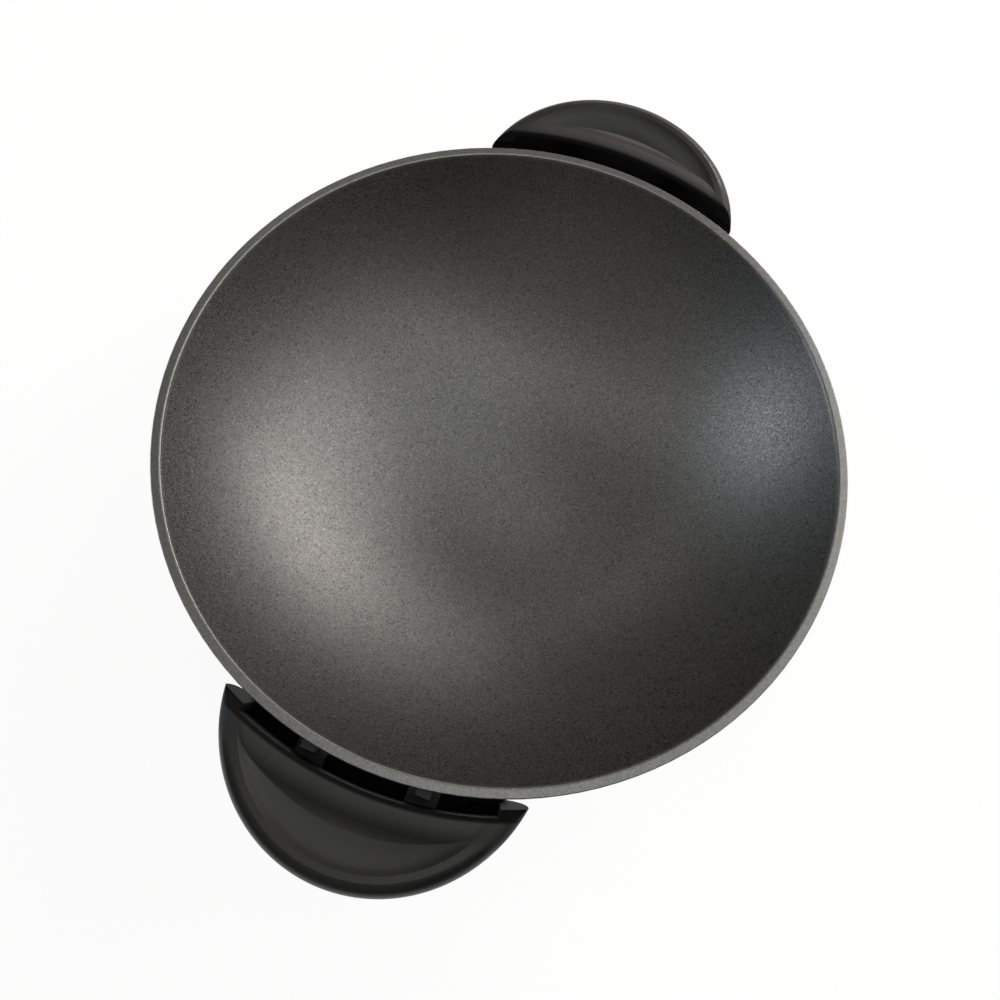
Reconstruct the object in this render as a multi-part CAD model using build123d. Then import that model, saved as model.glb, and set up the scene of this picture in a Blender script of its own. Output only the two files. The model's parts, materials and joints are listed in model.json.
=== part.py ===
from build123d import *
from math import cos, radians, sin, sqrt
import os

# Bowl: a round-bottomed casting, its rim level, the wok axis upright through the origin
rim_radius = 178.0
rim_land = 4.6
rim_band = 4.5
rim_inner_round = 1.0
rim_outer_round = 0.7
bowl_depth = 102.0
bowl_wall = 4.0

# Heating ring cast under the bowl, with the tubular element half sunk in it
ring_radius = 62.0
ring_width = 20.0
ring_drop = 8.0
ring_lift = 16.0
element_diameter = 8.0
element_bend = 13.0
element_seat = 0.03
casting_draft = 1.5

# Socket for the plug-in thermostat, on the front
terminal_spacing = 30.0
pin_diameter = 4.8
pin_length = 18.0
pin_root_diameter = 3.6
pin_root = 6.0
insulator_diameter = 7.4
insulator_length = 4.0
sleeve_bore = 7.2
sleeve_wall = 1.2
sleeve_reach = 11.0
sleeve_depth = 78.0
block_front = 92.0
block_width = 62.0
block_length = 20.0
block_cover = 4.0
shroud_width = 70.0
shroud_height = 31.0
shroud_length = 32.0
shroud_wall = 2.5
shroud_back = 3.0
shroud_round = 6.0
socket_screw_spacing = 52.0
hole_clearance = 0.25

# Handles: half-round grips beyond the rim, on cast lugs
handle_projection = 50.0
handle_round = 75.3
handle_gap = 7.5
handle_wall = 3.0
handle_depth = 32.0
handle_taper = 9.0
waist_drop = 4.0
brim_rise = 3.8
brim_inset = 9.0
brim_land = 0.8
crest_gap = 9.6
crest_round = 4.0
slope_gap = 4.3
slope_drop = 0.8
slope_round = 2.0
heel_gap = 1.5
dish_gap = 11.9
dish_drop = 4.4
dish_fall_width = 15.0
dish_shoulder = 18.0
pocket_width = 125.0
apron_width = 9.5
apron_thickness = 2.5
gusset_spacing = 50.0
gusset_thickness = 2.2
gusset_height = 14.0
gusset_setback = 1.0
lug_spacing = 56.0
lug_width = 15.0
lug_thickness = 6.0
lug_drop = 18.0
lug_screw_inset = 14.0
lug_clearance = 0.4
lug_rib_drop = 14.0
lug_web_thickness = 7.0
lug_web_step = 1.2
lug_web_setback = 5.0
lug_boss_diameter = 12.0
cover_thickness = 2.5
cover_recess = 1.0
cover_gap = 0.25
cover_screw_spacing = 80.0
cover_screw_inset = 11.0
cover_boss_diameter = 8.0
grip_rib_count = 3
grip_rib_width = 2.0
grip_rib_pitch = 6.0
grip_rib_height = 1.0
grip_rib_setback = 6.0

# Screws: shank, head width and head height of each kind, then their washers and how far they bite
handle_screw = (5.0, 9.0, 3.2)
cover_screw = (3.5, 7.0, 2.2)
socket_screw = (4.0, 7.5, 2.6)
foot_screw = (4.0, 7.5, 2.6)
dish_screw = (3.0, 6.0, 2.0)
guide_screw = (3.0, 6.0, 2.0)
slot_length_share = 0.66
slot_width_share = 0.14
washer_thickness = 1.2
washer_margin = 0.5
screw_bite = 8.0
short_bite = 6.0
thread_end_gap = 1.0

# Stand: a flared ring on four legs, with a deck, that carries the bowl
stand_top_radius = 101.0
stand_foot_radius = 120.0
stand_wall = 3.5
stand_gap = 2.0
stand_flare_height = 46.0
leg_count = 4
leg_start = 45.0
leg_half_angle = 19.0
foot_height = 5.0
stand_band = 5.0
window_round = 6.0
foot_diameter = 18.0
foot_bore_drop = 3.0
foot_post_margin = 1.0
deck_underside = 23.0
deck_thickness = 3.0
stud_hole_diameter = 16.0
notch_side_gap = 4.0
notch_floor_gap = 1.5
notch_round = 5.0
seat_width = 18.0
seat_length = 9.0
seat_height = 7.0
seat_clearance = 0.3
seat_fit = 0.1
seat_ledge = 12.0
vent_count = 16
vent_width = 5.0
vent_inner = 70.0
vent_outer = 98.0

# Reflector dish between the element and the deck
dish_stand_off = 4.0
dish_sheet = 1.0
dish_bend = 3.0
dish_flat_radius = 76.0
dish_outer_radius = 83.0
dish_lip = 5.5
dish_hole_diameter = 20.0
dish_post_radius = 56.0
dish_post_diameter = 9.0
dish_post_count = 3
dish_post_start = 30.0

# Bowl lock: a stud under the bowl, and a keyhole slide under the deck
stud_collar_width = 13.0
stud_collar_height = 3.0
stud_boss_diameter = 18.0
stud_boss_drop = 6.0
stud_thread_diameter = 6.0
stud_thread_length = 7.0
stud_thread_gap = 0.5
stud_shaft_diameter = 10.0
stud_neck_diameter = 6.0
stud_head_diameter = 12.0
stud_head_height = 5.0
slide_gap = 0.5
slide_thickness = 2.0
slide_width = 28.0
slide_travel = 12.0
slide_inner_end = 34.0
slide_outer_end = 122.0
slide_hole_margin = 1.0
slide_slot_margin = 0.4
stop_distance = 40.0
stop_diameter = 6.0
guide_distances = (-22.0, 74.0)
guide_length = 12.0
guide_sheet = 1.2
guide_flange = 14.0
guide_hole_floor = 0.6
guide_play = 0.6
knob_width = 40.0
knob_length = 20.0
knob_height = 13.0
knob_overlap = 12.0
knob_ridge_count = 4
knob_ridge_start = 0.2
rivet_diameter = 3.0
rivet_head_diameter = 5.5
rivet_head_height = 1.0
rivet_spacing = 18.0

# Worked out from the sizes above
deck_top = deck_underside + deck_thickness
dish_floor = deck_top + dish_stand_off
ring_bottom = dish_floor + ring_lift
bowl_bottom = ring_bottom + ring_drop
rim_height = bowl_bottom + bowl_wall + bowl_depth
rim_inner_radius = rim_radius - rim_land
inner_ball = (rim_inner_radius**2 + bowl_depth**2) / (2 * bowl_depth)
outer_ball = inner_ball + bowl_wall
ball_height = rim_height - bowl_depth + inner_ball
element_radius = element_diameter / 2
element_height = ring_bottom + element_radius / 4
sleeve_radius = sleeve_bore / 2 + sleeve_wall
block_bottom = element_height - element_radius - block_cover
shroud_face = block_front + shroud_back
shroud_mouth = block_front + shroud_length
notch_floor = element_height - shroud_height / 2 - notch_floor_gap
handle_reach = rim_radius + handle_projection
handle_centre = handle_reach - handle_round
handle_inner = rim_radius + handle_gap
handle_bottom = rim_height - handle_depth
handle_top = rim_height + brim_rise
brim_radius = handle_round - brim_inset
dish_edge = rim_radius + dish_gap
lug_top = rim_height - lug_drop
lug_bottom = lug_top - lug_thickness
lug_screw_radius = handle_inner + lug_screw_inset
cover_screw_place = handle_inner + cover_screw_inset
seat_place = stand_top_radius - stand_wall - seat_length / 2
slide_top = deck_underside - slide_gap
slide_bottom = slide_top - slide_thickness
stud_neck_top = deck_underside
stud_head_top = slide_bottom - slide_gap
stud_head_bottom = stud_head_top - stud_head_height


def outer_ball_drop(radius):
    return ball_height - sqrt(outer_ball**2 - radius**2)


seat_floor = outer_ball_drop(seat_place) - seat_height


def turned(profile, x=0.0):
    return Pos(x, 0, 0) * revolve(Plane.XZ * profile, Axis.Z)


def upright(radius, low, high, x=0.0, y=0.0):
    return Pos(x, y, (low + high) / 2) * Cylinder(radius, high - low)


def block(x, y, z):
    size = (x[1] - x[0], y[1] - y[0], z[1] - z[0])
    middle = ((x[0] + x[1]) / 2, (y[0] + y[1]) / 2, (z[0] + z[1]) / 2)
    return Pos(*middle) * Box(*size)


def forward(radius, near, far, x=0.0, z=0.0):
    return Pos(x, -(near + far) / 2, z) * Rot(90, 0, 0) * Cylinder(radius, far - near)


def pan_screw(sizes, length):
    shank, head, height = sizes
    body = upright(shank / 2, -length, 0) + upright(head / 2, 0, height)
    crown = body.edges().filter_by(GeomType.CIRCLE).sort_by(Axis.Z)[-1]
    body = chamfer(crown, height / 3)
    slot = Pos(0, 0, height) * Box(head * slot_length_share, head * slot_width_share, height)
    return body - slot - Rot(0, 0, 90) * slot


def pointing_up(screw, x, y, z):
    return Pos(x, y, z) * Rot(180, 0, 0) * screw


def write(name, solids):
    if not isinstance(solids, list):
        solids = [solids]
    pieces = [one for shape in solids for one in shape.solids()]
    model = pieces[0] if len(pieces) == 1 else Compound(pieces)
    model.label = name
    export_step(model, os.path.join("parts", name + ".step"))


# Bowl casting
def bowl_shell():
    ball = Pos(0, ball_height) * Circle(outer_ball)
    band_low = rim_height - rim_band
    bead = Polygon(
        (0, rim_height),
        (rim_radius, rim_height),
        (rim_radius, band_low),
        (rim_radius - 2 * rim_band, band_low - 2 * rim_band),
        (0, band_low - 2 * rim_band),
        align=None,
    )
    below_rim = Pos(rim_radius / 2, rim_height / 2) * Rectangle(rim_radius, rim_height)
    return turned((ball & below_rim) + (bead & below_rim))


def heating_ring():
    half = ring_width / 2
    top = outer_ball_drop(ring_radius - half) + bowl_wall / 2
    ring = Polygon(
        (ring_radius - half, ring_bottom),
        (ring_radius + half, ring_bottom),
        (ring_radius + half + casting_draft, top + bowl_wall),
        (ring_radius - half - casting_draft, top),
        align=None,
    )
    return turned(ring)


def socket_block():
    top = outer_ball_drop(block_front) + bowl_wall / 2
    half = block_width / 2
    back = block_front - block_length
    main = block((-half, half), (-block_front, -back), (block_bottom, top))
    main = fillet(main.edges().filter_by(Axis.Y).group_by(Axis.Z)[0], shroud_round)
    saddle_half = sleeve_radius + bowl_wall
    inner_end = block_front + sleeve_reach - sleeve_depth - bowl_wall
    saddle = forward(saddle_half, inner_end, block_front, 0, element_height)
    web = block((-saddle_half, saddle_half), (-block_front, -inner_end), (element_height, top))
    return main + saddle + web


def lug(side, y):
    screw_x = side * lug_screw_radius
    root = side * (rim_inner_radius - 2 * lug_width)
    low, high = lug_bottom, lug_top
    reach = sorted((root, screw_x))
    tongue = block(reach, (y - lug_width / 2, y + lug_width / 2), (low, high))
    tongue += upright(lug_width / 2, low, high, screw_x, y)
    rib_tip = handle_inner - lug_width / 2
    rib = Polygon(
        (root, high),
        (side * rib_tip, low),
        (side * (rib_tip - lug_rib_drop), low - lug_rib_drop),
        (root, low - lug_rib_drop),
        align=None,
    )
    rib = extrude(Plane.XZ.offset(-y) * rib, lug_thickness / 2, both=True)
    web_top = rim_height - rim_band
    web = Polygon(
        (root, web_top),
        (side * (rim_radius + lug_web_step), web_top),
        (side * (handle_inner - lug_web_setback), high),
        (root, high),
        align=None,
    )
    tongue += extrude(Plane.XZ.offset(-y) * web, lug_web_thickness / 2, both=True)
    hole = upright(handle_screw[0] / 2 + hole_clearance, low - 1, high + 1, screw_x, y)
    return tongue + rib - hole


def element_route():
    half = terminal_spacing / 2
    bend_x = half + element_bend
    bend_y = -sqrt((ring_radius + element_bend) ** 2 - bend_x**2)
    share = ring_radius / (ring_radius + element_bend)
    join = (bend_x * share, bend_y * share)
    start = (half, -shroud_face)
    turn = (half, bend_y)
    leg = Line(start, turn)
    curl = TangentArc(turn, join, tangent=(0, 1))
    loop = ThreePointArc(join, (0, ring_radius), (-join[0], join[1]))
    curl_back = TangentArc((-half, bend_y), (-join[0], join[1]), tangent=(0, 1))
    leg_back = Line((-half, -shroud_face), (-half, bend_y))
    return Pos(0, 0, element_height) * Wire([leg, curl, loop, curl_back, leg_back])


def element_bar(radius):
    route = element_route()
    section = Plane((terminal_spacing / 2, -shroud_face, element_height), z_dir=(0, 1, 0)) * Circle(radius)
    return sweep(section, route)


def wok_bowl():
    casting = bowl_shell() + heating_ring() + socket_block()
    casting += upright(stud_boss_diameter / 2, bowl_bottom - stud_boss_drop, bowl_bottom + bowl_wall / 2)
    for side in (-1, 1):
        for y in (-lug_spacing / 2, lug_spacing / 2):
            casting += lug(side, y)
    casting -= Pos(0, 0, ball_height) * Sphere(inner_ball)
    casting -= element_bar(element_radius + element_seat)
    sleeve_end = block_front + sleeve_reach - sleeve_depth
    casting -= forward(sleeve_radius + element_seat, sleeve_end, block_front + 1, 0, element_height)
    stud_top = bowl_bottom - stud_boss_drop + stud_thread_length
    casting -= upright(stud_thread_diameter / 2, bowl_bottom - stud_boss_drop - 1, stud_top)
    for x in (-socket_screw_spacing / 2, socket_screw_spacing / 2):
        casting -= forward(socket_screw[0] / 2, block_front - screw_bite, block_front + 1, x, element_height)
    rims = casting.edges().filter_by(GeomType.CIRCLE).group_by(Axis.Z)[-1].sort_by(SortBy.RADIUS)
    casting = fillet(rims[0], rim_inner_round)
    outer = casting.edges().filter_by(GeomType.CIRCLE).group_by(Axis.Z)[-1].sort_by(SortBy.RADIUS)[-1]
    return fillet(outer, rim_outer_round)


# Element, terminals and thermostat sleeve
def heating_element():
    bar = element_bar(element_radius)
    for x in (-terminal_spacing / 2, terminal_spacing / 2):
        bar -= forward(pin_root_diameter / 2, shroud_face - pin_root, shroud_face + 1, x, element_height)
    return bar


def terminal_pin(x):
    shoulder = shroud_face + insulator_length
    pin = forward(pin_diameter / 2, shoulder, shoulder + pin_length, x, element_height)
    tip = pin.edges().filter_by(GeomType.CIRCLE).sort_by(Axis.Y)[0]
    pin = chamfer(tip, pin_diameter / 4)
    return pin + forward(pin_root_diameter / 2, shroud_face - pin_root, shoulder, x, element_height)


def terminal_insulator(x):
    bead = forward(insulator_diameter / 2, shroud_face, shroud_face + insulator_length, x, element_height)
    rim = bead.edges().filter_by(GeomType.CIRCLE).sort_by(Axis.Y)[0]
    bead = chamfer(rim, insulator_length / 5)
    return bead - forward(pin_root_diameter / 2, shroud_face - 1, shroud_mouth, x, element_height)


def sensor_sleeve():
    mouth = block_front + sleeve_reach
    inner_end = mouth - sleeve_depth
    tube = forward(sleeve_radius, inner_end, mouth, 0, element_height)
    tube -= forward(sleeve_bore / 2, inner_end + sleeve_wall, mouth + 1, 0, element_height)
    lip = tube.edges().filter_by(GeomType.CIRCLE).group_by(Axis.Y)[0].sort_by(SortBy.RADIUS)[0]
    return chamfer(lip, sleeve_wall / 3)


def socket_shroud():
    outline = RectangleRounded(shroud_width, shroud_height, shroud_round)
    front = Plane((0, -shroud_mouth, element_height), x_dir=(1, 0, 0), z_dir=(0, -1, 0))
    case = extrude(front * outline, -shroud_length)
    inside = RectangleRounded(
        shroud_width - 2 * shroud_wall, shroud_height - 2 * shroud_wall, shroud_round - shroud_wall
    )
    case -= extrude(front * inside, shroud_back - shroud_length)
    for x in (-terminal_spacing / 2, terminal_spacing / 2):
        case -= forward(element_radius + hole_clearance, block_front - 1, shroud_face + 1, x, element_height)
    case -= forward(sleeve_radius + hole_clearance, block_front - 1, shroud_face + 1, 0, element_height)
    for x in (-socket_screw_spacing / 2, socket_screw_spacing / 2):
        case -= forward(socket_screw[0] / 2 + hole_clearance, block_front - 1, shroud_face + 1, x, element_height)
    return case


def socket_screws():
    screw = pan_screw(socket_screw, screw_bite + shroud_back)
    places = (-socket_screw_spacing / 2, socket_screw_spacing / 2)
    return [Pos(x, -shroud_face, element_height) * Rot(90, 0, 0) * screw for x in places]


# Handles
def handle_drum(inset, low):
    radius = handle_round - inset
    top = handle_top - inset
    waist = (radius, rim_height - waist_drop)
    foot = (radius - handle_taper, handle_bottom)
    edges = [
        Line((0, low), (foot[0], low)),
        TangentArc(waist, foot, tangent=(0, -1)),
        TangentArc(waist, (brim_radius, top), tangent=(0, 1)),
        Line((brim_radius, top), (0, top)),
        Line((0, top), (0, low)),
    ]
    if low < handle_bottom:
        edges.append(Line((foot[0], low), foot))
    return turned(make_face(Wire(edges)), handle_centre)


def crest_ring():
    far = handle_reach + handle_wall
    heel = rim_radius + heel_gap
    inner_face = FilletPolyline(
        (far, handle_top),
        (rim_radius + crest_gap, handle_top),
        (rim_radius + slope_gap, rim_height - slope_drop),
        (heel, handle_bottom),
        radius=[crest_round, slope_round],
    )
    floor = Line((heel, handle_bottom), (far, handle_bottom))
    back = Line((far, handle_bottom), (far, handle_top))
    return turned(make_face(Wire(inner_face.edges() + [floor, back])))


def plain_ring(inset, low):
    near = handle_inner + inset
    far = handle_reach + handle_wall
    top = handle_top - inset
    return turned(Pos((near + far) / 2, (low + top) / 2) * Rectangle(far - near, top - low))


def dish_tool(inset):
    top = handle_top - inset
    floor = top - dish_drop
    crest = (dish_edge + inset, top)
    foot = (crest[0] + dish_fall_width, floor)
    middle = ((crest[0] + foot[0]) / 2, (top + floor) / 2)
    high = handle_top + dish_drop
    far = handle_reach + handle_wall
    inner_side = [
        TangentArc(crest, middle, tangent=(1, 0)),
        TangentArc(foot, middle, tangent=(-1, 0)),
        Line(foot, (far, floor)),
        Line((far, floor), (far, high)),
        Line((far, high), (crest[0], high)),
        Line((crest[0], high), crest),
    ]
    brim = brim_radius - brim_land - inset
    heel = brim - dish_shoulder
    outer_side = [
        Line((0, floor), (heel, floor)),
        TangentArc((heel, floor), (brim, top), tangent=(1, 0)),
        Line((brim, top), (brim, high)),
        Line((brim, high), (0, high)),
        Line((0, high), (0, floor)),
    ]
    return turned(make_face(Wire(inner_side))) & turned(make_face(Wire(outer_side)), handle_centre)


def handle_hollow(inset, low):
    return (handle_drum(inset, low) & plain_ring(inset, low)) - dish_tool(inset)


def apron():
    low, high = handle_bottom, handle_bottom + apron_thickness
    near = handle_inner - apron_width
    far = handle_inner + handle_wall
    ledge = turned(Pos((near + far) / 2, (low + high) / 2) * Rectangle(far - near, apron_thickness))
    return ledge & upright(handle_round - handle_taper, low - 1, high + 1, handle_centre)


def pocket():
    low, high = handle_bottom + apron_thickness, handle_top + 1
    near = rim_radius - apron_width
    ring = turned(Pos((near + handle_inner) / 2, (low + high) / 2) * Rectangle(handle_inner - near, high - low))
    return ring & block((0, handle_reach), (-pocket_width / 2, pocket_width / 2), (low, high))


def gussets():
    low = handle_bottom + apron_thickness - 1
    near = rim_radius + heel_gap + gusset_setback
    fin = Polygon(
        (near, low),
        (handle_inner + 1, low),
        (handle_inner + 1, low + 1 + gusset_height),
        align=None,
    )
    fin = turned(fin)
    size = (4 * apron_width, gusset_thickness, 4 * gusset_height)
    return [fin & Pos(handle_inner, y, low) * Box(*size) for y in (-gusset_spacing, 0, gusset_spacing)]


def handle_shell():
    shell = (handle_drum(0, handle_bottom) & crest_ring()) - dish_tool(0)
    shell -= handle_hollow(handle_wall, handle_bottom - 1)
    shell -= pocket()
    core = handle_hollow(handle_wall / 2, handle_bottom)
    for y in (-lug_spacing / 2, lug_spacing / 2):
        boss = upright(lug_boss_diameter / 2, lug_top, handle_top, lug_screw_radius, y)
        shell += boss & core
        hole = upright(handle_screw[0] / 2, lug_top - 1, lug_top + screw_bite, lug_screw_radius, y)
        shell -= hole
        half = lug_width / 2 + lug_clearance
        reach = (handle_inner - 2 * handle_wall, handle_inner + 2 * handle_wall)
        low, high = lug_bottom - lug_clearance, lug_top + lug_clearance
        shell -= block(reach, (y - half, y + half), (low, high))
    cover_top = handle_bottom + cover_recess + cover_thickness
    for y in (-cover_screw_spacing / 2, cover_screw_spacing / 2):
        boss = upright(cover_boss_diameter / 2, cover_top, handle_top, cover_screw_place, y)
        shell += boss & core
        shell -= upright(cover_screw[0] / 2, cover_top - 1, cover_top + screw_bite, cover_screw_place, y)
    return shell + apron() + gussets()


def handle_cover():
    inset = handle_wall + cover_gap
    low = handle_bottom + cover_recess
    plate = handle_drum(inset, handle_bottom) & plain_ring(inset, handle_bottom)
    slab = block((handle_centre, handle_reach), (-handle_round, handle_round), (low, low + cover_thickness))
    plate = plate & slab
    for index in range(grip_rib_count):
        outside = handle_round - handle_taper - grip_rib_setback - index * grip_rib_pitch
        middle = (outside - grip_rib_width / 2, low)
        rib = turned(Pos(*middle) * Rectangle(grip_rib_width, 2 * grip_rib_height), handle_centre)
        reach = (cover_screw_place + cover_boss_diameter, handle_reach)
        plate += rib & block(reach, (-handle_round, handle_round), (low - grip_rib_height, low + 1))
    for y in (-cover_screw_spacing / 2, cover_screw_spacing / 2):
        hole = cover_screw[0] / 2 + hole_clearance
        plate -= upright(hole, low - 1, low + cover_thickness + 1, cover_screw_place, y)
    return plate


def handle_screws():
    screw = pan_screw(handle_screw, lug_thickness + washer_thickness + screw_bite - thread_end_gap)
    low = lug_bottom - washer_thickness
    return [
        pointing_up(screw, side * lug_screw_radius, y, low)
        for side in (-1, 1)
        for y in (-lug_spacing / 2, lug_spacing / 2)
    ]


def handle_washers():
    ring = upright(handle_screw[1] / 2 + washer_margin, -washer_thickness, 0)
    ring -= upright(handle_screw[0] / 2 + hole_clearance, -washer_thickness - 1, 1)
    return [
        Pos(side * lug_screw_radius, y, lug_bottom) * ring
        for side in (-1, 1)
        for y in (-lug_spacing / 2, lug_spacing / 2)
    ]


def cover_screws():
    screw = pan_screw(cover_screw, cover_thickness + screw_bite - thread_end_gap)
    low = handle_bottom + cover_recess
    return [
        pointing_up(screw, side * cover_screw_place, y, low)
        for side in (-1, 1)
        for y in (-cover_screw_spacing / 2, cover_screw_spacing / 2)
    ]


# Stand
def around_places(radius, start, count):
    step = 360.0 / count
    angles = [radians(start + step * index) for index in range(count)]
    return [(radius * cos(angle), radius * sin(angle)) for angle in angles]


def skirt_outline(inset, low, high):
    flare_low = foot_height + stand_band
    flare_high = flare_low + stand_flare_height
    bottom = (stand_foot_radius - inset, flare_low)
    neck = (stand_top_radius - inset, flare_high)
    edges = [
        Line((0, low), (stand_foot_radius - inset, low)),
        Line((stand_foot_radius - inset, low), bottom),
        TangentArc(neck, bottom, tangent=(0, -1)),
        Line(neck, (stand_top_radius - inset, high)),
        Line((stand_top_radius - inset, high), (0, high)),
        Line((0, high), (0, low)),
    ]
    return make_face(Wire(edges))


def stand_hollow():
    return turned(skirt_outline(stand_wall, foot_height - 1, rim_height + 1))


def leg_windows():
    reach = stand_foot_radius + stand_wall
    half_angle = 180.0 / leg_count - leg_half_angle
    width = 2 * reach * sin(radians(half_angle))
    window = block((0, reach), (-width / 2, width / 2), (0, deck_underside))
    window = fillet(window.edges().filter_by(Axis.X).group_by(Axis.Z)[-1], window_round)
    return around(window, leg_start - 180.0 / leg_count)


def front_notch():
    reach = (-stand_foot_radius - 1, -stand_top_radius / 2)
    half = shroud_width / 2 + notch_side_gap
    notch = block((-half, half), reach, (notch_floor, rim_height))
    return fillet(notch.edges().filter_by(Axis.Y).group_by(Axis.Z)[0], notch_round)


def seat_block(grow, low, high):
    length = seat_length + 2 * grow
    return Pos(seat_place, 0, (low + high) / 2) * Box(length, seat_width + 2 * grow, high - low)


def around(shape, start=leg_start):
    return [Rot(0, 0, start + 360.0 / leg_count * index) * shape for index in range(leg_count)]


def vent(angle):
    middle = (vent_inner + vent_outer) / 2
    slot = SlotOverall(vent_outer - vent_inner, vent_width)
    cut = extrude(Plane.XY.offset(deck_underside - 1) * slot, deck_thickness + 2)
    return Rot(0, 0, angle) * Pos(middle, 0, 0) * cut


def vents():
    step = 360.0 / vent_count
    angles = [step * (index + 0.5) for index in range(vent_count)]
    return [vent(angle) for angle in angles]


def stand():
    hollow = stand_hollow()
    wall = turned(skirt_outline(0, foot_height, rim_height)) - hollow
    deck = upright(stand_foot_radius, deck_underside, deck_top) & hollow
    post_radius = foot_diameter / 2 + foot_post_margin
    feet_posts = [upright(post_radius, foot_height, deck_top, x, y) for x, y in foot_places()]
    ledges = around(seat_block(stand_wall, seat_floor - seat_ledge, rim_height))
    posts = [upright(dish_post_diameter / 2, deck_top, dish_floor, x, y) for x, y in dish_post_places()]
    stop = upright(stop_diameter / 2, slide_bottom - slide_gap, deck_underside, 0, stop_distance)
    frame = wall + deck + posts + stop
    frame += [post & (hollow + wall) for post in feet_posts]
    frame += [ledge & turned(skirt_outline(0, foot_height, rim_height)) for ledge in ledges]
    frame -= Pos(0, 0, ball_height) * Sphere(outer_ball + stand_gap)
    frame -= around(seat_block(seat_fit, seat_floor, rim_height))
    frame -= leg_windows() + vents() + [front_notch()]
    frame -= upright(stud_hole_diameter / 2, deck_underside - 1, deck_top + 1)
    for x, y in dish_post_places():
        frame -= upright(dish_screw[0] / 2, dish_floor - short_bite, dish_floor + 1, x, y)
    for x, y in foot_places():
        frame -= upright(foot_screw[0] / 2, foot_height - 1, foot_height + screw_bite, x, y)
    for x, y in guide_screw_places():
        frame -= upright(guide_screw[0] / 2, deck_underside - 1, deck_top - guide_hole_floor, x, y)
    return frame


def seat_pads():
    pad = seat_block(0, seat_floor, rim_height)
    pad -= Pos(0, 0, ball_height) * Sphere(outer_ball + seat_clearance)
    return around(pad)


def foot_places():
    return around_places(stand_foot_radius - stand_wall - foot_diameter / 2, leg_start, leg_count)


def foot():
    pad = upright(foot_diameter / 2, 0, foot_height)
    pad = chamfer(pad.edges().group_by(Axis.Z)[0], foot_height / 5)
    pad -= upright(foot_screw[1] / 2 + hole_clearance, -1, foot_bore_drop)
    return pad - upright(foot_screw[0] / 2 + hole_clearance, 0, foot_height + 1)


def foot_screws():
    screw = pan_screw(foot_screw, foot_height - foot_bore_drop + screw_bite - thread_end_gap)
    return [pointing_up(screw, x, y, foot_bore_drop) for x, y in foot_places()]


# Reflector dish
def dish_post_places():
    return around_places(dish_post_radius, dish_post_start, dish_post_count)


def reflector_dish():
    sheet = dish_sheet / 2
    path = FilletPolyline(
        (dish_hole_diameter / 2, dish_floor + sheet),
        (dish_flat_radius, dish_floor + sheet),
        (dish_outer_radius, dish_floor + dish_lip + sheet),
        radius=dish_bend,
    )
    section = trace(path, dish_sheet)
    dish = turned(section)
    for x, y in dish_post_places():
        dish -= upright(dish_screw[0] / 2 + hole_clearance, dish_floor - 1, dish_floor + dish_lip, x, y)
    return dish


def dish_screws():
    screw = pan_screw(dish_screw, dish_sheet + short_bite - thread_end_gap)
    return [Pos(x, y, dish_floor + dish_sheet) * screw for x, y in dish_post_places()]


# Bowl lock
def lock_stud():
    boss_end = bowl_bottom - stud_boss_drop
    collar = extrude(
        Plane.XY.offset(boss_end - stud_collar_height) * RegularPolygon(stud_collar_width / 2, 6, major_radius=False),
        stud_collar_height,
    )
    thread = upright(stud_thread_diameter / 2, boss_end, boss_end + stud_thread_length - stud_thread_gap)
    shaft = upright(stud_shaft_diameter / 2, stud_neck_top, boss_end - stud_collar_height)
    neck = upright(stud_neck_diameter / 2, stud_head_top, stud_neck_top)
    head = upright(stud_head_diameter / 2, stud_head_bottom, stud_head_top)
    head = chamfer(head.edges().group_by(Axis.Z)[0], stud_head_height / 2)
    return collar + thread + shaft + neck + head


def lock_slide():
    half = slide_width / 2
    strip = block((-half, half), (-slide_inner_end, slide_outer_end), (slide_bottom, slide_top))
    strip = fillet(strip.edges().filter_by(Axis.Z), half / 4)
    low, high = slide_bottom - 1, slide_top + 1
    entry = stud_head_diameter / 2 + slide_hole_margin
    strip -= upright(entry, low, high)
    slot_half = stud_neck_diameter / 2 + slide_slot_margin
    strip -= block((-slot_half, slot_half), (0, slide_travel), (low, high))
    strip -= upright(slot_half, low, high, 0, slide_travel)
    stop_half = stop_diameter / 2 + slide_slot_margin
    strip -= block((-stop_half, stop_half), (stop_distance, stop_distance + slide_travel), (low, high))
    strip -= upright(stop_half, low, high, 0, stop_distance)
    strip -= upright(stop_half, low, high, 0, stop_distance + slide_travel)
    for x in rivet_places():
        strip -= upright(rivet_diameter / 2, low, high, x, rivet_line())
        strip -= rivet_countersink(x)
    return strip


def rivet_countersink(x):
    cone = Cone(rivet_diameter / 2, rivet_head_diameter / 2, rivet_head_height)
    return Pos(x, rivet_line(), slide_top - rivet_head_height / 2) * cone


def rivet_places():
    return (-rivet_spacing / 2, rivet_spacing / 2)


def rivet_line():
    return slide_outer_end - knob_overlap / 2


def lock_knob():
    near = slide_outer_end - knob_overlap
    low, high = slide_top - knob_height, slide_top
    body = block((-knob_width / 2, knob_width / 2), (near, near + knob_length), (low, high))
    body = fillet(body.edges().filter_by(Axis.Z).sort_by(Axis.Y)[-2:], knob_height / 3)
    body = fillet(body.edges().group_by(Axis.Y)[-1], knob_height / 6)
    half = slide_width / 2
    body -= block((-half, half), (near - 1, slide_outer_end), (slide_bottom, slide_top))
    pitch = (knob_length - knob_overlap) / knob_ridge_count
    for index in range(knob_ridge_count):
        groove_y = near + knob_overlap + pitch * (index + knob_ridge_start)
        groove = Pos(0, groove_y, low) * Rot(0, 90, 0) * Cylinder(pitch / 3, knob_width - knob_height)
        body -= groove
    for x in rivet_places():
        body -= upright(rivet_diameter / 2, low - 1, high + 1, x, rivet_line())
        body -= upright(rivet_head_diameter / 2, low - 1, low + rivet_head_height, x, rivet_line())
    return body


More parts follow.
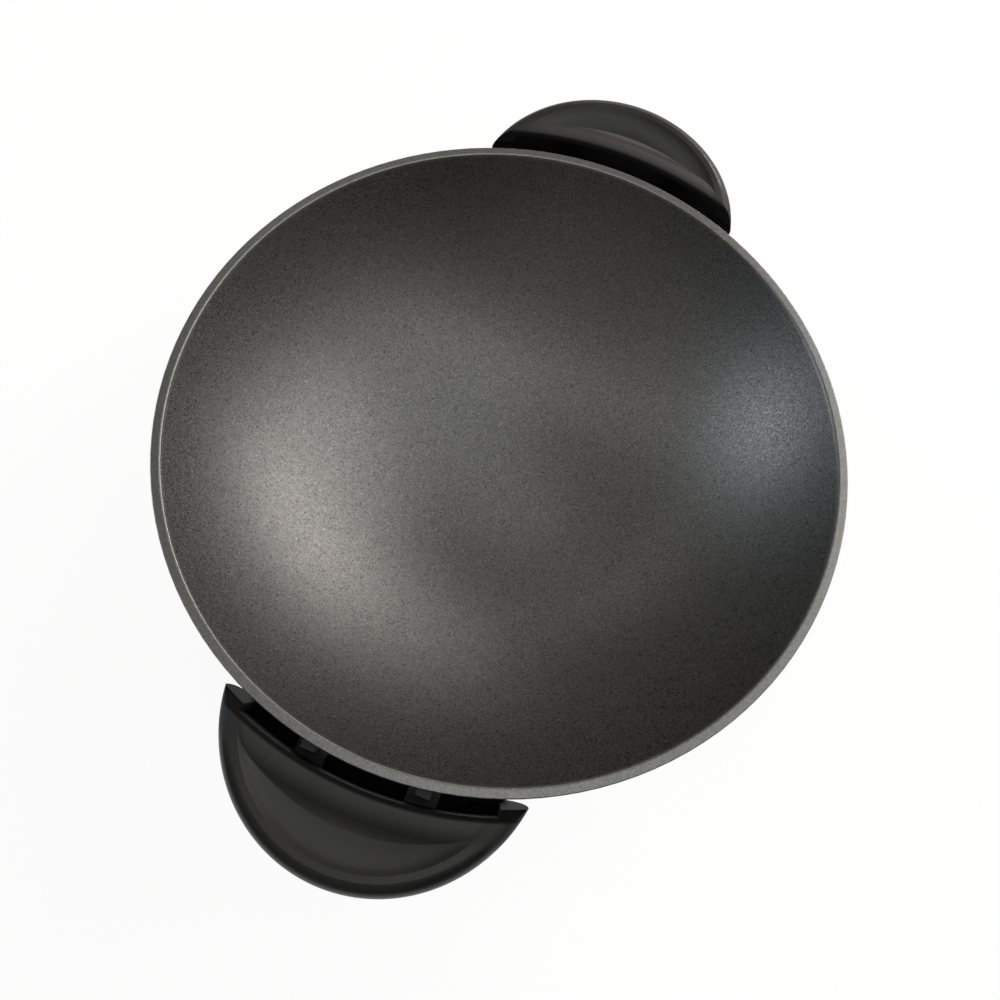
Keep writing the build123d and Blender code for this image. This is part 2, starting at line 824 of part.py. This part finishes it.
def knob_rivets():
    low = slide_top - knob_height
    rivets = []
    for x in rivet_places():
        shank = upright(rivet_diameter / 2, low, slide_top, x, rivet_line())
        head = upright(rivet_head_diameter / 2, low, low + rivet_head_height, x, rivet_line())
        rivets.append(shank + head + rivet_countersink(x))
    return rivets


def guide_reach():
    return slide_width / 2 + guide_play


def guide_screw_places():
    x = guide_reach() + guide_sheet + guide_flange / 2
    return [(side * x, y) for side in (-1, 1) for y in guide_distances]


def slide_guide(y):
    inner = guide_reach()
    outer = inner + guide_sheet
    flange = outer + guide_flange
    low = slide_bottom - slide_gap - guide_sheet
    floor = slide_bottom - slide_gap
    top = deck_underside
    section = Polygon(
        (-flange, top),
        (-flange, top - guide_sheet),
        (-outer, top - guide_sheet),
        (-outer, low),
        (outer, low),
        (outer, top - guide_sheet),
        (flange, top - guide_sheet),
        (flange, top),
        (inner, top),
        (inner, floor),
        (-inner, floor),
        (-inner, top),
        align=None,
    )
    strap = extrude(Plane.XZ.offset(-y) * section, guide_length / 2, both=True)
    for side in (-1, 1):
        x = side * (outer + guide_flange / 2)
        strap -= upright(guide_screw[0] / 2 + hole_clearance, low, top + 1, x, y)
    return strap


def guide_screws():
    screw = pan_screw(guide_screw, guide_sheet + deck_thickness - thread_end_gap)
    return [pointing_up(screw, x, y, deck_underside - guide_sheet) for x, y in guide_screw_places()]


def main():
    os.makedirs("parts", exist_ok=True)
    half = terminal_spacing / 2
    write("wok_bowl", wok_bowl())
    write("heating_element", heating_element())
    write("terminal_pin_left", terminal_pin(-half))
    write("terminal_pin_right", terminal_pin(half))
    write("terminal_insulator_left", terminal_insulator(-half))
    write("terminal_insulator_right", terminal_insulator(half))
    write("sensor_sleeve", sensor_sleeve())
    write("socket_shroud", socket_shroud())
    write("socket_screws", socket_screws())
    shell, cover = handle_shell(), handle_cover()
    write("handle_shell_right", shell)
    write("handle_cover_right", cover)
    write("handle_shell_left", Rot(0, 0, 180) * shell)
    write("handle_cover_left", Rot(0, 0, 180) * cover)
    write("handle_screws", handle_screws())
    write("handle_washers", handle_washers())
    write("cover_screws", cover_screws())
    write("stand", stand())
    write("reflector_dish", reflector_dish())
    write("dish_screws", dish_screws())
    corners = ("back_right", "back_left", "front_left", "front_right")
    for corner, pad in zip(corners, seat_pads()):
        write("seat_pad_" + corner, pad)
    for corner, (x, y) in zip(corners, foot_places()):
        write("foot_" + corner, Pos(x, y, 0) * foot())
    write("foot_screws", foot_screws())
    write("lock_stud", lock_stud())
    write("lock_slide", lock_slide())
    write("lock_knob", lock_knob())
    write("knob_rivets", knob_rivets())
    write("slide_guide_inner", slide_guide(guide_distances[0]))
    write("slide_guide_outer", slide_guide(guide_distances[1]))
    write("guide_screws", guide_screws())


main()
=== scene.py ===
import bpy
import json
from math import cos, pi, radians, sin, tan
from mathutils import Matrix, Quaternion, Vector


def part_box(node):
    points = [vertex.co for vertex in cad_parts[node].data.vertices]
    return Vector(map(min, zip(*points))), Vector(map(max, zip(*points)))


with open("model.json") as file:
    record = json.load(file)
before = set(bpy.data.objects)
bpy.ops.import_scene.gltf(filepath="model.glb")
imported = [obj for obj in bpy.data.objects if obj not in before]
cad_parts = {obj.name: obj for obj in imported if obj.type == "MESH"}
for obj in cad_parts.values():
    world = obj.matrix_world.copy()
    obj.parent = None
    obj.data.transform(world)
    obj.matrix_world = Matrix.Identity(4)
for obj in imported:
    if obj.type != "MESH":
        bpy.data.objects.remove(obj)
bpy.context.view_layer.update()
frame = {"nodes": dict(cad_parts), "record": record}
print("frame loaded:", len(frame["nodes"]), "nodes")

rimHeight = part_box("wok_bowl")[1].z


# camera at the photograph's place, fitted to the rim and both handles
photoCamera = {
    "place": (0.15777, 0.03095, 0.36627),   # its z and the aim's are above the rim's plane
    "aim": (0.03760, 0.00992, 0.0),
    "roll": 11.922,                         # degrees
    "lens": 27.936,
    "sensor": 36.0,
}


def placeCamera(view):
    lift = Vector((0, 0, rimHeight))
    place = Vector(view["place"]) + lift
    aim = Vector(view["aim"]) + lift
    data = bpy.data.cameras.new("photoCamera")
    data.lens = view["lens"]
    data.sensor_width = view["sensor"]
    data.sensor_fit = "HORIZONTAL"
    data.clip_start = 0.01
    camera = bpy.data.objects.new("photoCamera", data)
    bpy.context.scene.collection.objects.link(camera)
    camera.location = place
    look = (aim - place).to_track_quat("-Z", "Y")
    camera.rotation_mode = "QUATERNION"
    camera.rotation_quaternion = look @ Quaternion((0, 0, 1), radians(view["roll"]))
    bpy.context.scene.camera = camera


placeCamera(photoCamera)
print("camera placed")


# node helpers
def addNode(tree, kind, **settings):
    node = tree.nodes.new(kind)
    for key, value in settings.items():
        setattr(node, key, value)
    return node


def join(tree, source, target):
    tree.links.new(source, target)


def setOrJoin(tree, value, socket):
    if hasattr(value, "is_linked"):
        tree.links.new(value, socket)
    else:
        socket.default_value = value


def maths(tree, operation, first, second=0.0):
    node = addNode(tree, "ShaderNodeMath", operation=operation)
    setOrJoin(tree, first, node.inputs[0])
    setOrJoin(tree, second, node.inputs[1])
    return node.outputs[0]


def remap(tree, value, low, high, outLow=0.0, outHigh=1.0):
    node = addNode(tree, "ShaderNodeMapRange", interpolation_type="SMOOTHSTEP")
    setOrJoin(tree, value, node.inputs["Value"])
    limits = {"From Min": low, "From Max": high, "To Min": outLow, "To Max": outHigh}
    for name, number in limits.items():
        setOrJoin(tree, number, node.inputs[name])
    return node.outputs["Result"]


# a Mix node keeps sockets for every kind of data: 2 and 3 are numbers, 6 and 7 colours
def mixColour(tree, factor, first, second):
    node = addNode(tree, "ShaderNodeMix", data_type="RGBA")
    for value, place in ((factor, 0), (first, 6), (second, 7)):
        setOrJoin(tree, value, node.inputs[place])
    return node.outputs[2]


def blendValue(tree, factor, first, second):
    node = addNode(tree, "ShaderNodeMix", data_type="FLOAT")
    for value, place in ((factor, 0), (first, 2), (second, 3)):
        setOrJoin(tree, value, node.inputs[place])
    return node.outputs[0]


def mixShaders(tree, factor, first, second):
    node = addNode(tree, "ShaderNodeMixShader")
    for source, place in ((factor, 0), (first, 1), (second, 2)):
        join(tree, source, node.inputs[place])
    return node.outputs[0]


def newGroup(name, inputs, outputs):
    tree = bpy.data.node_groups.new(name, "ShaderNodeTree")
    for label, kind, value in inputs:
        socket = tree.interface.new_socket(label, in_out="INPUT", socket_type=kind)
        if value is not None:
            socket.default_value = value
    for label, kind in outputs:
        tree.interface.new_socket(label, in_out="OUTPUT", socket_type=kind)
    return tree, tree.nodes.new("NodeGroupInput"), tree.nodes.new("NodeGroupOutput")


def noiseOf(tree, vector, scale, detail=2.0, roughness=0.5):
    node = addNode(tree, "ShaderNodeTexNoise")
    join(tree, vector, node.inputs["Vector"])
    setOrJoin(tree, scale, node.inputs["Scale"])
    node.inputs["Detail"].default_value = detail
    node.inputs["Roughness"].default_value = roughness
    return node.outputs["Fac"]


# small bright flakes in a coating: one cell each, of which a share is chosen
fleckLook = {
    "chance": 0.08,             # how softly a cell is chosen
    "cellEdge": (0.85, 0.75),   # from the flake's outside to its full strength
}


def makeFleckGroup(look):
    tree, source, result = newGroup(
        "metalFleck",
        [("Vector", "NodeSocketVector", None), ("Scale", "NodeSocketFloat", 1500.0),
         ("Share", "NodeSocketFloat", 0.2)],
        [("Mask", "NodeSocketFloat"), ("Tone", "NodeSocketFloat")],
    )
    cells = addNode(tree, "ShaderNodeTexVoronoi")
    join(tree, source.outputs["Vector"], cells.inputs["Vector"])
    join(tree, source.outputs["Scale"], cells.inputs["Scale"])
    tone = addNode(tree, "ShaderNodeSeparateColor")
    join(tree, cells.outputs["Color"], tone.inputs[0])
    limit = maths(tree, "SUBTRACT", 1.0, source.outputs["Share"])
    chosen = remap(tree, tone.outputs[0], limit, maths(tree, "ADD", limit, look["chance"]))
    spot = remap(tree, cells.outputs["Distance"], *look["cellEdge"])
    join(tree, maths(tree, "MULTIPLY", chosen, spot), result.inputs["Mask"])
    join(tree, tone.outputs[1], result.inputs["Tone"])
    return tree


# fine grain with a slow drift over the surface
grainLook = {
    "coarser": 0.31,            # scale of the second layer of grain, against the first
    "fineRange": (0.3, 0.7),
    "broadRange": (0.35, 0.65),
    "fineShare": 0.6,
    "coarseShare": 0.4,
}


def makeGrainGroup(look):
    tree, source, result = newGroup(
        "surfaceGrain",
        [("Vector", "NodeSocketVector", None), ("Fine Scale", "NodeSocketFloat", 1200.0),
         ("Broad Scale", "NodeSocketFloat", 14.0)],
        [("Fine", "NodeSocketFloat"), ("Broad", "NodeSocketFloat"), ("Height", "NodeSocketFloat")],
    )
    fine = noiseOf(tree, source.outputs["Vector"], source.outputs["Fine Scale"], 3.0, 0.6)
    coarse = maths(tree, "MULTIPLY", source.outputs["Fine Scale"], look["coarser"])
    second = noiseOf(tree, source.outputs["Vector"], coarse, 2.0, 0.5)
    broad = noiseOf(tree, source.outputs["Vector"], source.outputs["Broad Scale"], 3.0, 0.5)
    join(tree, remap(tree, fine, *look["fineRange"]), result.inputs["Fine"])
    join(tree, remap(tree, broad, *look["broadRange"]), result.inputs["Broad"])
    height = maths(tree, "ADD", maths(tree, "MULTIPLY", fine, look["fineShare"]),
                   maths(tree, "MULTIPLY", second, look["coarseShare"]))
    join(tree, height, result.inputs["Height"])
    return tree


# rubbed edges: where a rounded normal leaves the true one
edgeLook = {
    "turn": (0.995, 0.90),      # cosine between the two normals, from sound to rubbed
    "patch": (0.38, 0.66),
}


def makeEdgeGroup(look):
    tree, source, result = newGroup(
        "edgeWear",
        [("Vector", "NodeSocketVector", None), ("Rounded", "NodeSocketVector", None),
         ("Patch Scale", "NodeSocketFloat", 60.0)],
        [("Mask", "NodeSocketFloat")],
    )
    shape = addNode(tree, "ShaderNodeNewGeometry")
    product = addNode(tree, "ShaderNodeVectorMath", operation="DOT_PRODUCT")
    join(tree, source.outputs["Rounded"], product.inputs[0])
    join(tree, shape.outputs["Normal"], product.inputs[1])
    edge = remap(tree, product.outputs["Value"], *look["turn"])
    noise = noiseOf(tree, source.outputs["Vector"], source.outputs["Patch Scale"], 4.0, 0.65)
    patch = remap(tree, noise, *look["patch"])
    join(tree, maths(tree, "MULTIPLY", edge, patch), result.inputs["Mask"])
    return tree


# hairlines along one direction, for rolled and brushed sheet
def makeBrushGroup():
    tree, source, result = newGroup(
        "brushedLines",
        [("Vector", "NodeSocketVector", None),
         ("Stretch", "NodeSocketVector", (40.0, 2500.0, 2500.0))],
        [("Lines", "NodeSocketFloat")],
    )
    stretched = addNode(tree, "ShaderNodeVectorMath", operation="MULTIPLY")
    join(tree, source.outputs["Vector"], stretched.inputs[0])
    join(tree, source.outputs["Stretch"], stretched.inputs[1])
    join(tree, noiseOf(tree, stretched.outputs[0], 1.0, 2.0, 0.6), result.inputs["Lines"])
    return tree


fleckGroup = makeFleckGroup(fleckLook)
grainGroup = makeGrainGroup(grainLook)
edgeGroup = makeEdgeGroup(edgeLook)
brushGroup = makeBrushGroup()


def placeGroup(tree, group, **values):
    node = addNode(tree, "ShaderNodeGroup")
    node.node_tree = group
    for name, value in values.items():
        setOrJoin(tree, value, node.inputs[name.replace("_", " ")])
    return node


def startMaterial(name):
    material = bpy.data.materials.new(name)
    material.use_nodes = True
    tree = material.node_tree
    shader = tree.nodes["Principled BSDF"]
    place = addNode(tree, "ShaderNodeTexCoord").outputs["Object"]
    return material, tree, shader, place


def addBump(tree, shader, height, strength, distance):
    bump = addNode(tree, "ShaderNodeBump")
    bump.inputs["Strength"].default_value = strength
    bump.inputs["Distance"].default_value = distance
    join(tree, height, bump.inputs["Height"])
    join(tree, bump.outputs["Normal"], shader.inputs["Normal"])


def edgeMask(tree, place, radius, patchScale):
    rounded = addNode(tree, "ShaderNodeBevel")
    rounded.samples = 4
    rounded.inputs["Radius"].default_value = radius
    worn = placeGroup(tree, edgeGroup, Vector=place, Patch_Scale=patchScale)
    join(tree, rounded.outputs["Normal"], worn.inputs["Rounded"])
    return worn.outputs["Mask"]


# non-stick coating with metal flakes in the bowl, satin metal on the rim's flat land, and a plain
# dark finish on the outside, which a high metal share over its dark colour turns near black:
# partly its own finish, partly painted shade for the moat beside the handles
bowlFinish = {
    "dark": (0.0100, 0.0096, 0.0090, 1),
    "drift": (0.0135, 0.0130, 0.0123, 1),
    "fleckDim": (0.055, 0.054, 0.051, 1),
    "fleck": (0.172, 0.169, 0.163, 1),
    # the outside: its own plain dark finish, made near black by its metal share as painted shade
    # for the moat
    "outside": (0.011, 0.011, 0.0115, 1),
    "outsideShadeMetal": 0.85,
    "outsideRoughness": 0.5,
    "hollowCentre": (0, 0, 0.2566),
    "hollowRadius": (0.1995, 0.2012),   # the inner face ends and the outer one starts
    "land": (0.128, 0.129, 0.127, 1),
    "landFleck": (0.20, 0.20, 0.195, 1),
    "landFleckShare": 0.5,
    "landDepth": (0.0016, 0.0010),      # below the rim's plane, where its finish sets in
    "landMetal": 0.85,
    "landRoughness": 0.345,
    "landBump": 0.3,
    "fleckScale": 1500.0,
    "fleckShare": 0.55,
    "fleckRise": 0.3,                   # height of a flake, against the grain's
    "grainScale": 1150.0,
    "driftScale": 11.0,
    "roughness": (0.345, 0.475),
    "refraction": 1.58,
    "shine": 1.0,
    "bumpStrength": 0.6,
    "bumpDepth": 0.00010,
}


def makeBowlCoating(look):
    material, tree, shader, place = startMaterial("bowlCoating")
    shader.inputs["IOR"].default_value = look["refraction"]
    shader.inputs["Specular IOR Level"].default_value = look["shine"]
    fleck = placeGroup(tree, fleckGroup, Vector=place,
                       Scale=look["fleckScale"], Share=look["fleckShare"])
    grain = placeGroup(tree, grainGroup, Vector=place,
                       Fine_Scale=look["grainScale"], Broad_Scale=look["driftScale"])

    # masks of the rim's land and of the outside
    axes = addNode(tree, "ShaderNodeSeparateXYZ")
    join(tree, place, axes.inputs[0])
    low, high = look["landDepth"]
    land = remap(tree, axes.outputs["Z"], rimHeight - low, rimHeight - high)
    away = addNode(tree, "ShaderNodeVectorMath", operation="DISTANCE")
    join(tree, place, away.inputs[0])
    away.inputs[1].default_value = look["hollowCentre"]
    outside = maths(tree, "MULTIPLY", remap(tree, away.outputs["Value"], *look["hollowRadius"]),
                    maths(tree, "SUBTRACT", 1.0, land))

    ground = mixColour(tree, grain.outputs["Broad"], look["dark"], look["drift"])
    ground = mixColour(tree, outside, ground, look["outside"])
    shade = mixColour(tree, land, ground, look["land"])
    spark = mixColour(tree, fleck.outputs["Tone"], look["fleckDim"], look["fleck"])
    spark = mixColour(tree, land, spark, look["landFleck"])
    share = blendValue(tree, land, 1.0, look["landFleckShare"])
    share = maths(tree, "MULTIPLY", share, maths(tree, "SUBTRACT", 1.0, outside))
    amount = maths(tree, "MULTIPLY", fleck.outputs["Mask"], share)
    join(tree, mixColour(tree, amount, shade, spark), shader.inputs["Base Color"])

    low, high = look["roughness"]
    gloss = remap(tree, grain.outputs["Fine"], 0.0, 1.0, high, low)
    gloss = blendValue(tree, outside, gloss, look["outsideRoughness"])
    join(tree, blendValue(tree, land, gloss, look["landRoughness"]), shader.inputs["Roughness"])
    # a high metal share over the outside's dark colour is painted shade in the moat beside the
    # handles
    metal = blendValue(tree, outside, amount, look["outsideShadeMetal"])
    join(tree, blendValue(tree, land, metal, look["landMetal"]), shader.inputs["Metallic"])
    rise = maths(tree, "MULTIPLY", fleck.outputs["Mask"], look["fleckRise"])
    height = maths(tree, "ADD", grain.outputs["Height"], rise)
    height = maths(tree, "MULTIPLY", height, blendValue(tree, land, 1.0, look["landBump"]))
    addBump(tree, shader, height, look["bumpStrength"], look["bumpDepth"])
    return material


# distance seen from above, from the bowl's axis or from a point out along each handle
def flatDistance(tree, axes, centre=0.0):
    across = maths(tree, "SUBTRACT", maths(tree, "ABSOLUTE", axes.outputs["X"]), centre)
    joined = addNode(tree, "ShaderNodeCombineXYZ")
    join(tree, across, joined.inputs[0])
    join(tree, axes.outputs["Y"], joined.inputs[1])
    away = addNode(tree, "ShaderNodeVectorMath", operation="LENGTH")
    join(tree, joined.outputs[0], away.inputs[0])
    return away.outputs["Value"]


# a handle is duller beside the bowl, where its moat and slope are, and along its crest; beside the
# bowl a darker colour under a high metal share is painted shade, and the metal share on its brim
# is painted shade too
def addGripZones(tree, shader, place, look, shade, gloss):
    axes = addNode(tree, "ShaderNodeSeparateXYZ")
    join(tree, place, axes.inputs[0])
    fromBowl = flatDistance(tree, axes)
    fromScoop = flatDistance(tree, axes, look["scoopCentre"])
    dull = remap(tree, fromBowl, *look["dullShadeEdge"])
    # a metal share over the dark colour darkens the brim: painted shade
    brimShade = maths(tree, "MULTIPLY", remap(tree, fromScoop, *look["brimShadeEdge"]), look["brimShadeMetal"])
    crest = remap(tree, fromBowl, *look["crestEdge"])
    # painted shade: a darker colour and a high metal share in the moat and on the slope beside the
    # bowl
    shade = mixColour(tree, dull, shade, look["dull"])
    gloss = blendValue(tree, dull, gloss, look["dullRoughness"])
    gloss = blendValue(tree, crest, gloss, look["crestRoughness"])
    join(tree, blendValue(tree, dull, brimShade, look["paintedShadeMetal"]), shader.inputs["Metallic"])
    return shade, gloss


def makeMoulded(name, look):
    material, tree, shader, place = startMaterial(name)
    shader.inputs["Specular IOR Level"].default_value = look["shine"]
    grain = placeGroup(tree, grainGroup, Vector=place,
                       Fine_Scale=look["grainScale"], Broad_Scale=look["driftScale"])
    worn = edgeMask(tree, place, look["edgeRadius"], look["edgePatches"])
    worn = maths(tree, "MULTIPLY", worn, look["edgeShare"])
    ground = mixColour(tree, grain.outputs["Broad"], look["dark"], look["drift"])
    shade = mixColour(tree, worn, ground, look["edge"])
    spread = blendValue(tree, look["driftShare"], grain.outputs["Fine"], grain.outputs["Broad"])
    gloss = remap(tree, spread, 0.0, 1.0, *look["roughness"])
    if "scoopCentre" in look:
        shade, gloss = addGripZones(tree, shader, place, look, shade, gloss)
    join(tree, shade, shader.inputs["Base Color"])
    join(tree, gloss, shader.inputs["Roughness"])
    addBump(tree, shader, grain.outputs["Height"], look["bumpStrength"], look["bumpDepth"])
    return material


mouldedFinish = {
    "dark": (0.0085, 0.0085, 0.0090, 1),
    "drift": (0.0120, 0.0118, 0.0120, 1),
    "edge": (0.035, 0.035, 0.036, 1),
    "grainScale": 1500.0,
    "driftScale": 22.0,
    "driftShare": 0.5,          # of the slow drift in the roughness, the rest is fine grain
    "edgeRadius": 0.0010,
    "edgePatches": 70.0,
    "edgeShare": 0.5,
    "shine": 0.34,
    "roughness": (0.30, 0.38),
    "bumpStrength": 0.5,
    "bumpDepth": 0.000025,
}
handleFinish = dict(
    mouldedFinish,
    scoopCentre=0.1527,         # out from the bowl's axis
    # a darker colour and a high metal share beside the bowl: painted shade in the moat and on the
    # slope
    dull=(0.004, 0.004, 0.0042, 1),
    dullShadeEdge=(0.1884, 0.1868),  # distances at which a zone starts and is full
    dullRoughness=0.55,
    paintedShadeMetal=0.9,
    # the brim's metal share darkens it: painted shade
    brimShadeEdge=(0.0618, 0.0642),
    brimShadeMetal=0.3,
    crestEdge=(0.2005, 0.1940),
    crestRoughness=0.56,
)
standFinish = dict(
    mouldedFinish,
    dark=(0.011, 0.011, 0.0115, 1),
    drift=(0.016, 0.016, 0.016, 1),
    grainScale=900.0,
    roughness=(0.5, 0.62),
    bumpDepth=0.00006,
)
rubberFinish = dict(
    mouldedFinish,
    dark=(0.012, 0.012, 0.012, 1),
    drift=(0.020, 0.020, 0.019, 1),
    edge=(0.07, 0.07, 0.065, 1),
    grainScale=700.0,
    roughness=(0.72, 0.85),
    bumpDepth=0.00008,
)
siliconeFinish = dict(
    rubberFinish,
    dark=(0.10, 0.10, 0.105, 1),
    drift=(0.14, 0.14, 0.145, 1),
    edge=(0.22, 0.22, 0.22, 1),
    roughness=(0.55, 0.68),
)
ceramicFinish = dict(
    rubberFinish,
    dark=(0.66, 0.63, 0.55, 1),
    drift=(0.74, 0.71, 0.63, 1),
    edge=(0.50, 0.46, 0.38, 1),
    roughness=(0.55, 0.75),
    bumpDepth=0.00004,
)


# bare metals
def makeMetal(name, look):
    material, tree, shader, place = startMaterial(name)
    lines = placeGroup(tree, brushGroup, Vector=place, Stretch=look["stretch"]).outputs["Lines"]
    grain = placeGroup(tree, grainGroup, Vector=place,
                       Fine_Scale=look["grainScale"], Broad_Scale=look["driftScale"])
    ground = mixColour(tree, grain.outputs["Broad"], look["bright"], look["dull"])
    mark = maths(tree, "MULTIPLY", remap(tree, lines, *look["lineRange"]), look["lineShare"])
    join(tree, mixColour(tree, mark, ground, look["line"]), shader.inputs["Base Color"])
    gloss = remap(tree, lines, *look["glossRange"], *look["roughness"])
    join(tree, gloss, shader.inputs["Roughness"])
    shader.inputs["Metallic"].default_value = 1.0
    addBump(tree, shader, lines, look["bumpStrength"], look["bumpDepth"])
    return material


steelFinish = {
    "bright": (0.60, 0.60, 0.59, 1),
    "dull": (0.50, 0.50, 0.49, 1),
    "line": (0.36, 0.36, 0.36, 1),
    "lineRange": (0.35, 0.68),
    "lineShare": 0.35,
    "stretch": (2600.0, 60.0, 2600.0),
    "grainScale": 1600.0,
    "driftScale": 30.0,
    "glossRange": (0.25, 0.75),
    "roughness": (0.24, 0.40),
    "bumpStrength": 0.35,
    "bumpDepth": 0.00002,
}
screwFinish = dict(
    steelFinish,
    bright=(0.52, 0.52, 0.50, 1),
    dull=(0.40, 0.40, 0.39, 1),
    stretch=(1800.0, 1800.0, 300.0),
    roughness=(0.30, 0.46),
)
dishFinish = dict(
    steelFinish,
    bright=(0.74, 0.74, 0.75, 1),
    dull=(0.62, 0.62, 0.63, 1),
    stretch=(900.0, 900.0, 900.0),
    roughness=(0.20, 0.36),
)
sheathFinish = dict(
    steelFinish,
    bright=(0.26, 0.24, 0.21, 1),
    dull=(0.15, 0.135, 0.12, 1),
    line=(0.10, 0.085, 0.07, 1),
    stretch=(500.0, 500.0, 500.0),
    driftScale=45.0,
    roughness=(0.42, 0.6),
    bumpDepth=0.00005,
)

# one finish for each material slot of the record
finishes = {
    "bowl_coating": makeBowlCoating(bowlFinish),
    "handle_plastic": makeMoulded("handlePlastic", handleFinish),
    "stand_plastic": makeMoulded("standPlastic", standFinish),
    "foot_rubber": makeMoulded("footRubber", rubberFinish),
    "seat_silicone": makeMoulded("seatSilicone", siliconeFinish),
    "ceramic_bead": makeMoulded("ceramicBead", ceramicFinish),
    "bright_steel": makeMetal("brightSteel", steelFinish),
    "screw_steel": makeMetal("screwSteel", screwFinish),
    "dish_sheet": makeMetal("spunAluminium", dishFinish),
    "element_sheath": makeMetal("elementSheath", sheathFinish),
}
for part in frame["record"]["subparts"]:
    mesh = frame["nodes"][part["node"]].data
    mesh.materials.clear()
    mesh.materials.append(finishes[part["material_slot"]])
print("finishes assigned:", len(finishes))


# floor and world
studio = {
    "floorSize": 8.0,
    "floorColour": (0.92, 0.92, 0.92, 1),
    "floorRoughness": 0.9,
    "floorGlow": 0.91,
    "worldColour": (0.98, 0.99, 1.0, 1),
    "worldStrength": 0.04,
    "lampDistance": 2.0,
}


def makeFloor(look):
    bpy.ops.mesh.primitive_plane_add(size=look["floorSize"])
    floor = bpy.context.object
    floor.name = "floor"
    material = bpy.data.materials.new("floorPaper")
    material.use_nodes = True
    tree = material.node_tree
    shader = tree.nodes["Principled BSDF"]
    shader.inputs["Base Color"].default_value = look["floorColour"]
    shader.inputs["Roughness"].default_value = look["floorRoughness"]
    glow = addNode(tree, "ShaderNodeEmission")
    path = addNode(tree, "ShaderNodeLightPath")
    seen = path.outputs["Is Camera Ray"]
    for ray in ("Is Glossy Ray", "Is Transmission Ray"):
        seen = maths(tree, "MAXIMUM", seen, path.outputs[ray])
    white = maths(tree, "MULTIPLY", seen, look["floorGlow"])
    paper = mixShaders(tree, white, shader.outputs[0], glow.outputs[0])

    # seen from below, the floor is clear
    clear = addNode(tree, "ShaderNodeBsdfTransparent")
    side = addNode(tree, "ShaderNodeNewGeometry")
    oneSided = mixShaders(tree, side.outputs["Backfacing"], paper, clear.outputs[0])
    join(tree, oneSided, tree.nodes["Material Output"].inputs["Surface"])
    floor.data.materials.append(material)


def makeWorld(look):
    world = bpy.data.worlds.new("studio")
    world.use_nodes = True
    bpy.context.scene.world = world
    tree = world.node_tree
    sky = tree.nodes["Background"]
    sky.inputs["Strength"].default_value = look["worldStrength"]
    sky.inputs["Color"].default_value = look["worldColour"]
    white = addNode(tree, "ShaderNodeBackground")
    white.inputs["Color"].default_value = (1, 1, 1, 1)
    path = addNode(tree, "ShaderNodeLightPath")
    seen = mixShaders(tree, path.outputs["Is Camera Ray"], sky.outputs[0], white.outputs[0])
    join(tree, seen, tree.nodes["World Output"].inputs["Surface"])


# soft lamps round the rim's centre. Azimuth and height say where a lamp stands, wide and high
# how large it looks from there, all in degrees, and level how bright its face is
lamps = {
    "backSky": {
        "azimuth": 133, "height": 36, "wide": 47, "high": 29,
        "level": 2.82, "colour": (1.0, 0.953, 0.900),
    },
    "highSky": {
        "azimuth": 103, "height": 63, "wide": 50, "high": 65,
        "level": 1.19, "colour": (0.97, 1.0, 0.985),
    },
    "topStrip": {
        "azimuth": -2, "height": 71, "wide": 95, "high": 8,
        "level": 2.91, "colour": (1.0, 0.971, 0.924),
    },
    "lowWindow": {
        "azimuth": 148, "height": 19, "wide": 36, "high": 8,
        "level": 13.2, "colour": (1.0, 0.951, 0.909),
    },
    "farGlow": {
        "azimuth": 178, "height": 21, "wide": 33, "high": 24,
        "level": 2.44, "colour": (1.0, 0.925, 0.870),
    },
    "sideGlow": {
        "azimuth": 224, "height": 31, "wide": 34, "high": 8,
        "level": 2.18, "colour": (1.0, 0.955, 0.880),
    },
    "sideWindow": {
        "azimuth": -82, "height": 17, "wide": 19, "high": 21,
        "level": 6.3, "colour": (0.83, 0.92, 1.0),
    },
    "nearSky": {
        "azimuth": -148, "height": 62, "wide": 22, "high": 20,
        "level": 1.7, "colour": (1.0, 0.975, 0.935),
    },
    "frontFill": {
        "azimuth": -44, "height": 46, "wide": 110, "high": 45,
        "level": 0.31, "colour": (1.0, 0.95, 0.86),
    },
}


def addLamp(name, look, distance):
    azimuth, height = radians(look["azimuth"]), radians(look["height"])
    data = bpy.data.lights.new(name, "AREA")
    data.shape = "RECTANGLE"
    data.size = 2 * distance * tan(radians(look["wide"] / 2))
    data.size_y = 2 * distance * tan(radians(look["high"] / 2))
    data.energy = look["level"] * pi * data.size * data.size_y
    data.color = look["colour"]
    lamp = bpy.data.objects.new(name, data)
    bpy.context.scene.collection.objects.link(lamp)
    lamp.visible_camera = False
    direction = Vector((cos(azimuth) * cos(height), sin(azimuth) * cos(height), sin(height)))
    lamp.location = direction * distance + Vector((0, 0, rimHeight))
    lamp.rotation_euler = (-direction).to_track_quat("-Z", "Y").to_euler()


makeFloor(studio)
makeWorld(studio)
for name, look in lamps.items():
    addLamp(name, look, studio["lampDistance"])
bpy.context.scene.view_settings.view_transform = "Standard"
print("studio lit")
